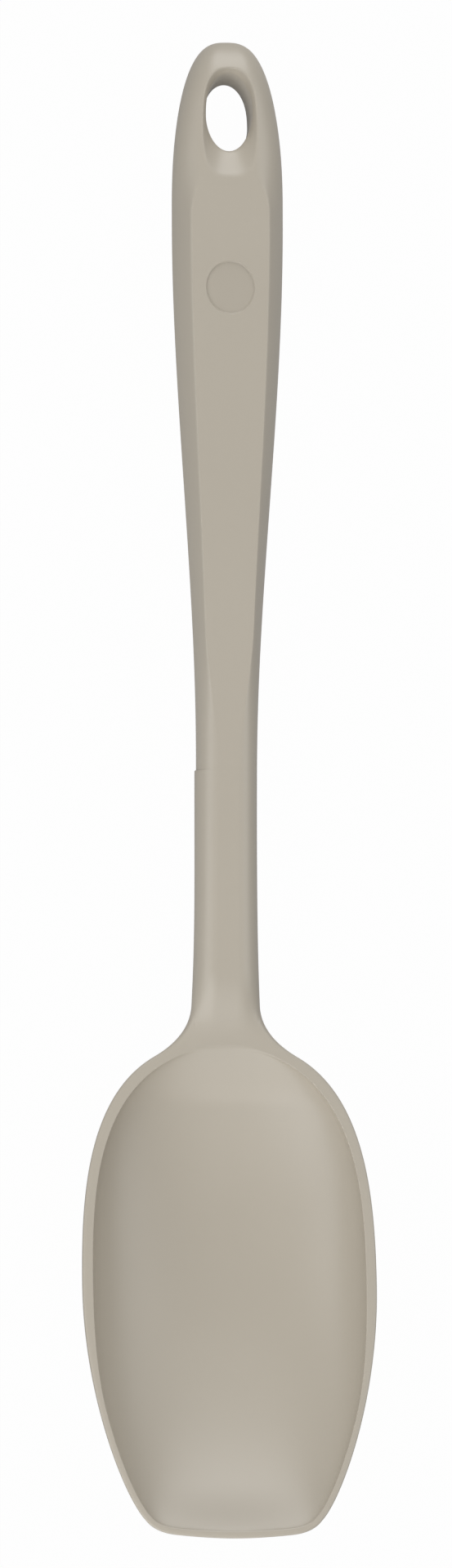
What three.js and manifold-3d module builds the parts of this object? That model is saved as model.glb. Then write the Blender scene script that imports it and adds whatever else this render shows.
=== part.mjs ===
// Silicone sauce ladle: a deep blunt-tipped bowl on a slim neck, and a bevelled handle with a hanging eye.
// The handle and the head are two silicone-covered modules that meet at a joint in the neck.
// Each has a front and a back silicone skin over a glass-filled nylon core. A steel spine joins the cores.
// Millimetres. +Z is up, +Y runs to the handle's end, and the ladle lies on its back on the plane z = 0.
import * as THREE from "three";
import { mergeVertices } from "three/addons/utils/BufferGeometryUtils.js";
import Module from "manifold-3d";

const wasm = await Module();
wasm.setup();

// Lengths along the ladle
const handleLength = 137.2; // joint to the handle's end
const neckLength = 44.8; // joint to the bowl's shoulder
const bowlLength = 98; // shoulder to the scraping tip

// Handle
const handleWidth = 20.9;
const handleThickness = 12;
const taperLength = 103; // joint to where the handle is widest
const handleEndLength = 31; // the length over which the outline rounds off
const handleEndRound = 10; // the length over which the thickness rounds off
const jointWidth = 11.4; // the handle's width at the joint
const jointThickness = 9.4;
const flatFaceShare = 0.685; // the flat of each face, as a share of the handle's width
const flatRunOut = 26; // the length over which the flat and its bevels fade towards the joint
const creaseSetback = 33; // where they start to fade towards the eye, from the handle's end
const creaseRunOut = 14; // the length over which they do so
const bevelCrease = 1.15; // exponent across a bevel: 1 meets the flat in a crease, 2 is an ellipse
const sideRound = 2.1; // exponent down a side
const heelSetback = 12; // where the back touches the table, from the handle's end
const endDip = 1.6; // how far the mid-line falls from the heel to the end

// Hanging eye
const eyeWidth = 8.7;
const eyeLength = 15.1;
const eyeSetback = 14.7; // the eye's centre, from the handle's end
const eyeFront = 3.2; // where the front funnel starts, above the mid-line
const eyeBack = 5; // where the back funnel starts, below the mid-line
const eyeTilt = 5; // degrees, square to the dipped end
const eyeLean = 0.13; // how far the throat leans to the bowl for each millimetre down
const funnelLean = 0.55; // how far the funnels lean to the bowl for each millimetre out
const funnelFlareX = 0.33; // growth of each half-axis for each millimetre of height
const funnelFlareY = 1.2;

// Round recess on the grip
const recessSetback = 47.05; // its centre, from the handle's end
const recessWidth = 9.2;
const recessLength = 10.1;
const recessDepth = 0.3;

// Neck and bowl
const neckWidth = 11.64;
const neckThickness = 9.4;
const neckFlatShare = 0.3; // the flat of the neck's front and back, as a share of its width
const neckFlare = 1.1; // how much wider the neck is at the bowl than at the joint
const sleeveShift = 0.17; // the neck's end sits this far to the left, so its rim shows on that side
const bowlWidth = 54.8;
const widestShare = 0.523; // where the bowl is widest, as a share of its length
const tipWidth = 32.7; // where the sides run into the rounded corners of the scraping edge
const tipCorner = 3.3; // how far each corner's rounding reaches along the side
const tipBow = 1.05; // the scraping edge's bulge
const shoulderSetback = 5.5; // from the neck's end to the top of the bowl's own outline
const filletLength = 6; // how far the shoulder's fillet reaches up the neck
const neckHeight = 9.7; // the neck's mid-line above the table
const tipRise = 19.3; // the scraping edge above the neck's mid-line
const rimBend = 5; // the length over which the rim turns up from the neck
const keelDepth = 4.9; // pull of the underside's curve below the table, before the foot is cut flat
const bowlRound = 2.25; // exponent of the bowl's cross-section, 2 for an ellipse
const rimWidth = 1.65;
const crestSetback = 5.3; // from the neck's end to the edge where the bowl's back wall starts
const rimCrown = 0.7;
const rimBead = 1.6; // the front skin's lip, measured down the outside
const tipLap = 5; // the stretch at the tip that is front skin only
const floorWall = 4.4;
const lipWall = 2;
const crestLength = 22; // the length over which the bowl's back wall falls to the floor
const crestRound = 3; // how softly the rim's inner edge turns across below the neck
const lipRun = 34; // the length over which the bowl's floor thins towards the tip
const bowlLead = 2; // how far up the neck the bowl's section starts
const bowlRun = 11; // the length over which the neck's section turns into the bowl's
const crownLead = 5; // how far up the neck its crown starts to fall
const crownRun = 16; // the length over which the neck's crown falls to the rim's
const edgeRound = 1.4; // the scraping edge's rounding

// Cores, spine and the gaps between bonded pieces
const skinWall = 1.8; // silicone over the handle's and the neck's core
const eyeSkin = 1.2; // silicone around the hanging eye's throat
const endSkin = 2.6; // silicone beyond the handle core's end
const bowlCoreInset = 6.5; // the soft lip around the bowl core
const bowlCoreThickness = 1.4;
const coreInsetRun = 9; // the length over which the core's edge draws back from the neck's to the bowl's
const tongueLead = 8; // how far up the neck the tongue starts to thin
const tongueRun = 13; // the length over which it thins
const coreTipRun = 5; // the length over which the core's tip narrows
const keyHoleDiameter = 4; // holes in the bowl core that the silicone grips through
const keyHolePitch = 13;
const keyHoleSpacing = 9;
const keyHoleSetback = 22; // the first row's, from the neck's end
const windowLength = 8; // windows in the handle core that the silicone grips through
const windowPitch = 12;
const windowRail = 2.4; // the core's rail beside each window
const windowCount = 5;
const spineWidth = 5;
const spineThickness = 2.2;
const spineInHandle = 40;
const spineInHead = 36;
const pegDiameter = 2;
const pegSetback = 6; // from each end of the spine
const bondGap = 0.25; // between a core and its silicone
const seamGap = 0.2; // between two skins, and between the two modules
const slotGap = 0.25; // around the spine and its pegs

// Places worked out from the sizes
const overallLength = handleLength + neckLength + bowlLength;
const yEnd = overallLength / 2;
const yJoint = yEnd - handleLength;
const yShoulder = yJoint - neckLength;
const yTip = yShoulder - bowlLength;
const yWidest = yShoulder - bowlLength * widestShare;
const yEye = yEnd - eyeSetback;
const yRecess = yEnd - recessSetback;
const zTip = neckHeight + tipRise;
const beyond = 3; // how far a cutting solid runs past what it cuts
const deep = 40; // reach of the solids that split front from back

// Formulas shared by the forms
const clamp01 = (t) => Math.min(1, Math.max(0, t));
const mix = (a, b, t) => a + (b - a) * t;
const smooth = (t) => clamp01(t) ** 2 * (3 - 2 * clamp01(t));
const range = (count) => Array.from({ length: count + 1 }, (_, i) => i / count);
const point = (x, y) => new THREE.Vector2(x, y);

// The second coordinate of a curve as a function of its first, which has to run one way.
function graphOf(curve, divisions = 240) {
  const points = curve.getPoints(divisions);
  if (points[0].x > points.at(-1).x) points.reverse();
  return (u) => {
    const next = points.findIndex((p) => p.x >= u);
    if (next === 0) return points[0].y;
    if (next < 0) return points.at(-1).y;
    const a = points[next - 1];
    const b = points[next];
    return mix(a.y, b.y, (u - a.x) / (b.x - a.x));
  };
}

// A closed solid through rings of equal point count.
// project gives the plane in which each ring is a simple outline.
function loft(rings, project = (p) => point(p.x, p.z)) {
  const count = rings[0].length;
  const index = [];
  for (let i = 0; i < rings.length - 1; i++) {
    for (let j = 0; j < count; j++) {
      const a = i * count + j;
      const b = i * count + ((j + 1) % count);
      index.push(a, a + count, b, b, a + count, b + count);
    }
  }
  const cap = (ring, start, forward) => {
    const outline = ring.map(project);
    const turned = THREE.ShapeUtils.isClockWise(outline);
    for (const [a, b, c] of THREE.ShapeUtils.triangulateShape(outline, [])) {
      const face = turned === forward ? [a, c, b] : [a, b, c];
      index.push(...face.map((i) => start + i));
    }
  };
  cap(rings[0], 0, true);
  cap(rings.at(-1), count * (rings.length - 1), false);
  const geometry = new THREE.BufferGeometry().setFromPoints(rings.flat());
  geometry.setIndex(index);
  return solidOf(geometry);
}

// A geometry as a solid, with its faces turned outwards.
function solidOf(geometry) {
  const bare = new THREE.BufferGeometry();
  bare.setAttribute("position", geometry.getAttribute("position"));
  bare.setIndex(geometry.index);
  const merged = mergeVertices(bare, 1e-4);
  const triVerts = new Uint32Array(merged.index.array);
  const vertProperties = merged.attributes.position.array;
  const made = new wasm.Manifold(new wasm.Mesh({ numProp: 3, vertProperties, triVerts }));
  if (made.volume() > 0) return made;
  return new wasm.Manifold(new wasm.Mesh({ numProp: 3, vertProperties, triVerts: triVerts.toReversed() }));
}

function meshOf(name, solid, material) {
  const { vertProperties, triVerts } = solid.getMesh();
  const geometry = new THREE.BufferGeometry();
  geometry.setAttribute("position", new THREE.BufferAttribute(vertProperties, 3));
  geometry.setIndex(new THREE.BufferAttribute(triVerts, 1));
  geometry.computeVertexNormals();
  const mesh = new THREE.Mesh(geometry, material);
  mesh.name = name;
  return mesh;
}

// A cross-section: flats above and below, joined by superelliptic corners with an exponent each way.
function section(y, { half, flat, top, bottom, mid, across, down, shift = 0 }, perQuarter = 6) {
  const points = [];
  for (let quarter = 0; quarter < 4; quarter++) {
    for (const t of range(perQuarter)) {
      const angle = ((quarter + t) * Math.PI) / 2;
      const side = quarter === 0 || quarter === 3 ? 1 : -1;
      const x = side * (flat + (half - flat) * Math.abs(Math.cos(angle)) ** (2 / across));
      const height = Math.abs(Math.sin(angle)) ** (2 / down);
      const z = quarter < 2 ? top * height : -bottom * height;
      const atSide = (quarter + t) % 2 === 0 && t === 0;
      if (!atSide) points.push(new THREE.Vector3(x + shift, y, mid + z));
    }
  }
  return points;
}

// Handle: outline, thickness and mid-line as functions of y
const handleMid = graphOf(
  new THREE.SplineCurve([
    point(yJoint, neckHeight),
    point(mix(yJoint, yEnd, 0.42), neckHeight),
    point(yEnd - handleEndLength, handleThickness / 2 + endDip),
    point(yEnd - heelSetback, handleThickness / 2),
    point(yEnd, handleThickness / 2 - endDip),
  ]),
);
const gripBlend = (y) => smooth((y - yJoint) / taperLength);
const endRounding = (y, length, n) => (1 - clamp01(1 - (yEnd - y + 0.03) / length) ** 2) ** (1 / n);
const handleHalf = (y) =>
  (mix(jointWidth, handleWidth, gripBlend(y)) / 2) * endRounding(y, handleEndLength, 2.8);
const handleHeight = (y) =>
  (mix(jointThickness, handleThickness, gripBlend(y)) / 2) * endRounding(y, handleEndRound, 2.2);
const handleStations = [
  ...range(11).map((t) => mix(yJoint, yEnd - handleEndLength, t)),
  ...range(10).slice(1).map((t) => yEnd - handleEndLength * (1 - Math.sin((t * Math.PI) / 2))),
];

function handleSection(y, inset) {
  const half = handleHalf(y) - inset;
  const height = handleHeight(y) - inset;
  const faded = smooth((y - yEnd + creaseSetback) / creaseRunOut);
  const bevelled = smooth((y - yJoint) / flatRunOut) * (1 - faded);
  const flat = half * mix(neckFlatShare, flatFaceShare, bevelled);
  const across = mix(sideRound, bevelCrease, bevelled);
  return { half, flat, top: height, bottom: height, mid: handleMid(y), across, down: sideRound };
}

const handleBody = () => loft(handleStations.map((y) => section(y, handleSection(y, 0))));

function ellipse(rx, ry, count, height) {
  const curve = new THREE.EllipseCurve(0, 0, rx, ry);
  return curve.getPoints(count).slice(1).map((p) => new THREE.Vector3(p.x, p.y, height));
}

// The hanging eye as a solid: a leaning throat with a funnel at each face. The core's is grown by the skin.
function eyeSolid(grow) {
  const reach = handleThickness;
  const rings = [-reach, -eyeBack, eyeFront, reach].map((height) => {
    const level = Math.min(Math.max(height, -eyeBack), eyeFront);
    const over = Math.abs(height - level);
    const rx = eyeWidth / 2 + grow + over * funnelFlareX;
    const ry = eyeLength / 2 + grow + over * funnelFlareY;
    const shift = level * eyeLean - over * funnelLean;
    return ellipse(rx, ry, 24, height).map((p) => p.setY(p.y + shift));
  });
  const turn = new THREE.Matrix4().makeRotationX((-eyeTilt * Math.PI) / 180);
  turn.setPosition(0, yEye, handleMid(yEye));
  for (const p of rings.flat()) p.applyMatrix4(turn);
  return loft(rings, (p) => point(p.x, p.y));
}

// The shallow oval recess, with its floor along the front face.
function recessSolid() {
  const face = handleMid(yRecess) + handleHeight(yRecess);
  const slope = handleMid(yRecess + 1) + handleHeight(yRecess + 1) - face;
  const ring = (height) => ellipse(recessWidth / 2, recessLength / 2, 20, height);
  const rings = [-recessDepth, beyond].map(ring);
  for (const p of rings.flat()) p.add(new THREE.Vector3(0, yRecess, face + slope * p.y));
  return loft(rings, (p) => point(p.x, p.y));
}

// Everything behind the handle's parting surface, raised by lift.
function behindHandle(lift) {
  const ys = [yJoint - beyond, ...handleStations, yEnd + beyond];
  return loft(
    ys.map((y) => {
      const top = [deep, -deep].map((x) => new THREE.Vector3(x, y, handleMid(y) + lift));
      return [...top, new THREE.Vector3(-deep, y, -deep), new THREE.Vector3(deep, y, -deep)];
    }),
  );
}

// The handle core's outside; grow makes the pocket that holds it.
function handleCoreBody(grow, yStart) {
  const yStop = yEnd - endSkin + grow;
  const ys = [yStart, ...handleStations.filter((y) => y > yJoint + 1 && y < yStop - 1), yStop];
  return loft(ys.map((y) => section(y, handleSection(y, skinWall - grow), 3)));
}

// Windows in the handle core, shrunk for the silicone that fills them.
function windowSolids(shrink) {
  const yLast = yEye - eyeLength / 2 - eyeSkin - windowLength;
  return Array.from({ length: windowCount }, (_, i) => {
    const y = yLast - i * windowPitch;
    const halfLength = windowLength / 2 - shrink;
    const halfWidth = handleHalf(y) - skinWall - windowRail - shrink;
    const corner = Math.min(halfWidth, halfLength) * 0.8;
    const shape = new THREE.Shape();
    shape.moveTo(-halfWidth + corner, -halfLength);
    shape.lineTo(halfWidth - corner, -halfLength);
    shape.absarc(halfWidth - corner, -halfLength + corner, corner, -Math.PI / 2, 0);
    shape.absarc(halfWidth - corner, halfLength - corner, corner, 0, Math.PI / 2);
    shape.absarc(-halfWidth + corner, halfLength - corner, corner, Math.PI / 2, Math.PI);
    shape.absarc(-halfWidth + corner, -halfLength + corner, corner, Math.PI, Math.PI * 1.5);
    const options = { depth: 2 * deep, bevelEnabled: false, curveSegments: 3 };
    const geometry = new THREE.ExtrudeGeometry(shape, options);
    return solidOf(geometry.translate(0, y, -deep));
  });
}

// Spine: a flat bar with a peg hole near each end
const ySpineTop = yJoint + spineInHandle;
const ySpineLow = yJoint - spineInHead;
const pegPlaces = [ySpineTop - pegSetback, ySpineLow + pegSetback];

function spineBar(grow, pegHoles) {
  const halfWidth = spineWidth / 2 + grow;
  const top = ySpineTop + grow;
  const low = ySpineLow - grow;
  const corner = spineWidth / 4;
  const shape = new THREE.Shape();
  shape.moveTo(-halfWidth + corner, low);
  shape.lineTo(halfWidth - corner, low);
  shape.absarc(halfWidth - corner, low + corner, corner, -Math.PI / 2, 0);
  shape.absarc(halfWidth - corner, top - corner, corner, 0, Math.PI / 2);
  shape.absarc(-halfWidth + corner, top - corner, corner, Math.PI / 2, Math.PI);
  shape.absarc(-halfWidth + corner, low + corner, corner, Math.PI, Math.PI * 1.5);
  for (const y of pegHoles) {
    shape.holes.push(new THREE.Path().absarc(0, y, pegDiameter / 2 + slotGap, 0, Math.PI * 2));
  }
  const depth = spineThickness + 2 * grow;
  const geometry = new THREE.ExtrudeGeometry(shape, { depth, bevelEnabled: false, curveSegments: 6 });
  return solidOf(geometry.translate(0, 0, neckHeight - depth / 2));
}

// The slot that holds the spine, with the core's own peg left standing through it.
function spineSlot() {
  const depth = neckThickness - 2 * skinWall - 1;
  const pegs = pegPlaces.map((y) => upright(pegDiameter, depth, y, 0, neckHeight, 12));
  return pegs.reduce((slot, peg) => slot.subtract(peg), spineBar(slotGap, []));
}

// A round upright pin.
function upright(diameter, height, y, x, z, sides) {
  const geometry = new THREE.CylinderGeometry(diameter / 2, diameter / 2, height, sides);
  return solidOf(geometry.rotateX(Math.PI / 2).translate(x, y, z));
}

// Head outline of one half: neck edge, fillet, shoulder, side, rounded corner and scraping edge.
// The fillet is tangent to the neck and to the shoulder.
function headOutline(counts) {
  const half = bowlWidth / 2;
  const tipHalf = tipWidth / 2;
  const yTop = yShoulder - shoulderSetback;
  const shoulder = new THREE.CubicBezierCurve(
    point(0, yTop),
    point(half * 0.93, yTop),
    point(half, mix(yTop, yWidest, 0.56)),
    point(half, yWidest),
  );
  const meets = 0.215;
  const landing = shoulder.getPoint(meets);
  const slope = shoulder.getTangent(meets);
  const filletHalf = (neckWidth + neckFlare) / 2;
  const yBend = landing.y + ((filletHalf - landing.x) / slope.x) * slope.y;
  const start = point(filletHalf, yBend + filletLength);
  const neck = new THREE.QuadraticBezierCurve(
    point(neckWidth / 2, yJoint),
    point(neckWidth / 2, mix(yJoint, start.y, 0.7)),
    start,
  );
  const fillet = new THREE.QuadraticBezierCurve(start, point(filletHalf, yBend), landing);
  const side = new THREE.CubicBezierCurve(
    point(half, yWidest),
    point(half, mix(yWidest, yTip, 0.447)),
    point(mix(tipHalf, half, 0.333), mix(yWidest, yTip, 0.848)),
    point(tipHalf, yTip + tipCorner),
  );
  const bend = point(tipHalf - tipCorner * 0.51, yTip + tipBow);
  const corner = new THREE.QuadraticBezierCurve(
    side.v3,
    bend,
    point(tipHalf - tipCorner * 1.7, yTip + tipBow * 0.6),
  );
  const edgeBend = point(corner.v2.x + (corner.v2.x - bend.x) * 1.5, yTip);
  const edge = new THREE.QuadraticBezierCurve(corner.v2, edgeBend, point(0, yTip));
  const pieces = [
    neck.getPoints(counts.neck),
    fillet.getPoints(counts.fillet),
    range(counts.shoulder).map((t) => shoulder.getPoint(mix(meets, 1, t))),
    side.getPoints(counts.side),
    corner.getPoints(counts.corner),
    edge.getPoints(counts.edge),
  ];
  return pieces.flatMap((points, i) => (i ? points.slice(1) : points));
}

// Head: rim, underside, floor and split heights as functions of y
const rimRun = (length) => Math.hypot(length, rimBend) - rimBend;
const rimHeight = (y) => neckHeight + (tipRise * rimRun(Math.max(0, yShoulder - y))) / rimRun(bowlLength);
const underside = graphOf(
  new THREE.CubicBezierCurve(
    point(yShoulder, neckHeight - neckThickness / 2),
    point(yShoulder - bowlLength * 0.31, -keelDepth),
    point(yShoulder - bowlLength * 0.68, -keelDepth),
    point(yTip, zTip - lipWall + rimCrown),
  ),
);
const headBottom = (y) => (y > yShoulder ? neckThickness / 2 : rimHeight(y) - underside(y));
const bowlBlend = (y) => smooth((yShoulder + bowlLead - y) / bowlRun);
const headTop = (y) => mix(neckThickness / 2, rimCrown, smooth((yShoulder + crownLead - y) / crownRun));
const sleeveOffset = (y) => -sleeveShift * smooth((y - yShoulder) / neckLength);
const yCrest = yShoulder - crestSetback;
const wallAt = (y) => mix(lipWall, floorWall, smooth((y - yTip) / lipRun));
function floorDepth(y) {
  const full = headBottom(y) - wallAt(y);
  const risen = clamp01(1 - (yCrest - y) / crestLength) ** 3;
  return y > yCrest ? -headTop(y) : mix(full, -headTop(y), risen);
}

const headCounts = { neck: 5, fillet: 6, shoulder: 7, side: 7, corner: 4, edge: 3 };
const fineOutline = headOutline({ neck: 40, fillet: 40, shoulder: 60, side: 60, corner: 30, edge: 30 });
const graphOfPoints = (points) => graphOf({ getPoints: () => points.map((p) => point(p.y, p.x)) });
const headHalf = graphOfPoints(fineOutline);

// The rim's inner edge: the outline moved inwards by the rim's width, and rounded across below the neck.
const innerOutline = fineOutline.slice(1, -1).map((p, i) => {
  const along = fineOutline[i + 2].clone().sub(fineOutline[i]).normalize();
  return point(p.x + along.y * rimWidth, p.y - along.x * rimWidth);
});
innerOutline.push(point(0, yTip + rimWidth));
const insetHalf = graphOfPoints(innerOutline);
function scoopHalf(y) {
  const across = (1 - clamp01((y - yWidest) / (yCrest - yWidest)) ** 3) ** 0.5 * (bowlWidth / 2 - rimWidth);
  const along = Math.max(0, insetHalf(y));
  const near = clamp01(1 - Math.abs(along - across) / crestRound);
  return Math.min(along, across) - (crestRound * near ** 2) / 4;
}

// The head before its scoop is taken out, with the scraping edge rounded off at the tip.
function headBody() {
  const rings = headOutline(headCounts).map(({ x, y }) => {
    const half = Math.max(x, 0.4);
    const squeeze = mix(0.35, 1, clamp01((y - yTip) / edgeRound) ** 0.5);
    return section(y, {
      half,
      flat: half * mix(neckFlatShare, 0.12, bowlBlend(y)),
      top: headTop(y) * squeeze,
      bottom: headBottom(y) * squeeze,
      mid: rimHeight(y),
      across: mix(sideRound, bowlRound, bowlBlend(y)),
      down: mix(sideRound, bowlRound, bowlBlend(y)),
      shift: sleeveOffset(y),
    });
  });
  return loft(rings.reverse());
}

// The scoop that is taken out of the head.
function scoopSolid() {
  const counts = { neck: 1, fillet: 1, shoulder: 1, side: 7, corner: 4, edge: 2 };
  const lower = headOutline(counts).map((p) => p.y).filter((y) => y < yWidest - 1);
  const stations = [
    ...range(11).map((t) => mix(yWidest, yCrest, Math.cos((t * Math.PI) / 2))),
    ...lower.map((y) => mix(yWidest, yTip + rimWidth, (yWidest - y) / (yWidest - yTip))),
  ];
  const rings = stations.map((y) => {
    const half = Math.max(scoopHalf(y), 0.3);
    const depth = Math.max(floorDepth(y), 0.2 - headTop(y));
    const high = rimHeight(y) + neckThickness;
    const arc = range(14).map((t) => {
      const angle = Math.PI * (1 + t);
      const across = Math.sign(Math.cos(angle)) * Math.abs(Math.cos(angle)) ** (2 / bowlRound);
      const down = Math.abs(Math.sin(angle)) ** (2 / bowlRound);
      return new THREE.Vector3(half * across, y, rimHeight(y) - depth * down);
    });
    return [...arc, new THREE.Vector3(half, y, high), new THREE.Vector3(-half, y, high)];
  });
  return loft(rings.reverse());
}

// The surface that splits the head's front from its back: level in the neck, half-way through the bowl's
// wall, and a shelf under the rim's bead outside.
function splitHeight(x, y) {
  const yy = Math.max(y, yTip + tipLap);
  const blend = bowlBlend(yy);
  const half = headHalf(yy) - rimWidth / 2;
  const middle = (headBottom(yy) + Math.max(floorDepth(yy), 0)) / 2;
  const bowl = middle * (1 - clamp01(Math.abs(x) / half) ** bowlRound) ** (1 / bowlRound);
  return rimHeight(y) - blend * Math.max(rimBead, bowl);
}

// Everything behind that surface, raised by lift.
function behindHead(lift) {
  const counts = { neck: 2, fillet: 4, shoulder: 7, side: 7, corner: 1, edge: 1 };
  const ys = headOutline(counts).map((p) => p.y).filter((y) => y > yTip + tipLap + 1);
  ys[0] = yJoint + beyond;
  ys.push(yTip + tipLap);
  const rings = ys.map((y) => {
    const half = headHalf(y) - rimWidth / 2;
    const across = range(14).map((t) => half * Math.sin((0.5 - t) * Math.PI));
    const top = [deep, ...across, -deep].map((x) => new THREE.Vector3(x, y, splitHeight(x, y) + lift));
    return [...top, new THREE.Vector3(-deep, y, -deep), new THREE.Vector3(deep, y, -deep)];
  });
  return loft(rings.reverse());
}

// The bowl core's outside: a tongue in the neck that thins into a dished plate.
function bowlCoreBody(grow, yStart) {
  const yStop = yTip + bowlCoreInset - grow;
  const counts = { neck: 2, fillet: 4, shoulder: 6, side: 6, corner: 1, edge: 1 };
  const ys = headOutline(counts).map((p) => p.y).filter((y) => y > yStop + coreTipRun);
  ys[0] = yStart;
  ys.push(yStop + coreTipRun / 2, yStop);
  const tongue = neckThickness - 2 * skinWall;
  const rings = ys.map((y) => {
    const inset = mix(skinWall, bowlCoreInset, smooth((yShoulder - y) / coreInsetRun));
    const half = (headHalf(y) - inset) * (1 - 0.25 * clamp01(1 - (y - yStop) / coreTipRun) ** 2) + grow;
    const thick = mix(tongue, bowlCoreThickness, smooth((yShoulder + tongueLead - y) / tongueRun)) / 2 + grow;
    const across = range(8).map((t) => half * Math.sin((t - 0.5) * Math.PI));
    const lift = (s, side) => {
      const slope = (splitHeight(s + 0.2, y) - splitHeight(s - 0.2, y)) / 0.4;
      const length = Math.hypot(1, slope);
      return new THREE.Vector3(
        s + sleeveOffset(y) - (side * thick * slope) / length,
        y,
        splitHeight(s, y) + (side * thick) / length,
      );
    };
    return [...across.map((s) => lift(s, -1)), ...across.reverse().map((s) => lift(s, 1))];
  });
  return loft(rings.reverse());
}

// Upright pins through the bowl core's key holes, row by row where the plate is wide enough.
function keyPins(diameter) {
  const pins = [];
  const yFirst = yShoulder - keyHoleSetback;
  for (let y = yFirst; y > yTip + bowlCoreInset + keyHolePitch; y -= keyHolePitch) {
    const room = headHalf(y) - bowlCoreInset - keyHoleDiameter;
    const places = [-keyHoleSpacing, 0, keyHoleSpacing].filter((x) => Math.abs(x) < room);
    pins.push(...places.map((x) => upright(diameter, 2 * deep, y, x, 0, 12)));
  }
  return pins;
}

const cut = (solid, cutters) => cutters.reduce((left, cutter) => left.subtract(cutter), solid);

// What lies under the table, cut off both modules so that they rest on it
const tableTop = solidOf(new THREE.BoxGeometry(4 * deep, 4 * overallLength, deep).translate(0, 0, -deep / 2));

// Handle pieces
const handleSkin = handleBody()
  .subtract(
    cut(handleCoreBody(bondGap, yJoint - beyond), [eyeSolid(eyeSkin - bondGap), ...windowSolids(bondGap)]),
  )
  .subtract(eyeSolid(0))
  .subtract(recessSolid())
  .subtract(tableTop);
const handleFront = handleSkin.subtract(behindHandle(seamGap / 2));
const handleBack = handleSkin.intersect(behindHandle(-seamGap / 2));
const handleCore = cut(handleCoreBody(0, yJoint), [eyeSolid(eyeSkin), ...windowSolids(0), spineSlot()]);

// Head pieces, a seam's width away from the handle
const jointSeam = solidOf(
  new THREE.BoxGeometry(2 * deep, 2 * seamGap, 2 * deep).translate(0, yJoint, neckHeight),
);
const headSkin = headBody()
  .subtract(scoopSolid())
  .subtract(cut(bowlCoreBody(bondGap, yJoint + beyond), keyPins(keyHoleDiameter - 2 * bondGap)))
  .subtract(tableTop)
  .subtract(jointSeam);
const headFront = headSkin.subtract(behindHead(seamGap / 2));
const headBack = headSkin.intersect(behindHead(-seamGap / 2));
const bowlCore = cut(bowlCoreBody(0, yJoint), [...keyPins(keyHoleDiameter), spineSlot(), jointSeam]);

// Finishes
const silicone = new THREE.MeshStandardMaterial({ color: 0xb2ab9d, roughness: 0.5, metalness: 0 });
const nylon = new THREE.MeshStandardMaterial({ color: 0x3a3a3c, roughness: 0.6, metalness: 0 });
const steel = new THREE.MeshStandardMaterial({ color: 0xc8c9cb, roughness: 0.3, metalness: 1 });

const ladle = new THREE.Group();
ladle.name = "sauce_ladle";
ladle.add(
  meshOf("handle_front_skin", handleFront, silicone),
  meshOf("handle_back_skin", handleBack, silicone),
  meshOf("head_front_skin", headFront, silicone),
  meshOf("head_back_skin", headBack, silicone),
  meshOf("handle_core", handleCore, nylon),
  meshOf("bowl_core", bowlCore, nylon),
  meshOf("steel_spine", spineBar(0, pegPlaces), steel),
);

export default ladle;
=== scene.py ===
import math

import bmesh
import bpy
import numpy as np
from mathutils import Matrix, Vector


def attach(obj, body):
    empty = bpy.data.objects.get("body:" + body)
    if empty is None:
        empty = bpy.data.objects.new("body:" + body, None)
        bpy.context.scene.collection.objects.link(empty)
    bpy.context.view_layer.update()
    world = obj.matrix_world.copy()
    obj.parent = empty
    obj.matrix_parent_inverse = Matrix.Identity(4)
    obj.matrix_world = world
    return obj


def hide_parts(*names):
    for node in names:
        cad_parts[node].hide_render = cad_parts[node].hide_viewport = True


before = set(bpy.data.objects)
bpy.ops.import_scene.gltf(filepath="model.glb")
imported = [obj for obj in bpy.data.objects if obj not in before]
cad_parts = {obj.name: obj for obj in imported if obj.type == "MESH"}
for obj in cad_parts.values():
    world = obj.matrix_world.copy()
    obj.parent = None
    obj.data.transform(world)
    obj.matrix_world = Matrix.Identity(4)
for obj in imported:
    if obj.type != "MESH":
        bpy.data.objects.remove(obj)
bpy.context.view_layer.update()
print("frame loaded:", ", ".join(sorted(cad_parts)))

# Sizes in millimetres, +Y to the handle's end, front face up
handle = {
    "length": 137.2,
    "width": 20.9,
    "thickness": 12.0,
    "taper": 103.0,  # joint to where it is widest
    "endLength": 31.0,  # over which the outline rounds off
    "endRound": 10.0,  # over which the thickness rounds off
    "jointWidth": 11.4,
    "jointThickness": 9.4,
    "flatShare": 0.685,
    "flatRunOut": 26.0,  # over which flat and bevels fade towards the joint
    "creaseSetback": 33.0,  # where they start to fade towards the eye
    "creaseRunOut": 14.0,
    "crease": 1.08,  # 1 is a sharp crease beside the flat, 2 an ellipse
    "creaseSoft": 0.08,
    "bevelRound": 1.4,  # 1 is a flat bevel, 2 an ellipse
    "sideRound": 2.1,
    "endPower": 2.8,  # how square the end is in outline and in thickness
    "endDepthPower": 2.2,
    "levelShare": 0.42,  # of its length that stays level with the neck
    "heelSetback": 12.0,
    "endDip": 1.6,
}
eye = {
    "width": 8.7,
    "length": 14.7,
    "setback": 14.2,
    "front": 3.7,  # where each funnel starts, from the mid-line
    "back": 5.0,
    "tilt": 5.0,
    "lean": 0.08,  # of the throat to the bowl, for each millimetre down
    "funnelLean": 0.9,  # of the funnels to the bowl, for each millimetre out
    "flareX": 0.75,
    "flareY": 1.45,
    "square": 0.35,  # how much squarer the funnel gets for each millimetre out
    "sideLead": 1.0,  # the funnel starts this much higher at the sides
    "throatSoft": 0.2,  # rounding between throat and funnel
    "faceSoft": 0.3,  # rounding between funnel and face
    "lead": 1.0,  # where the straight wall starts, below the funnel
}
recess = {
    "setback": 47.05,
    "width": 9.2,
    "length": 10.1,
    "depth": 0.34,
    "wallFrom": 0.94,  # share of the radius at which the wall starts, and its run
    "wallRun": 0.07,
    "window": 7.0,
}
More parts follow.
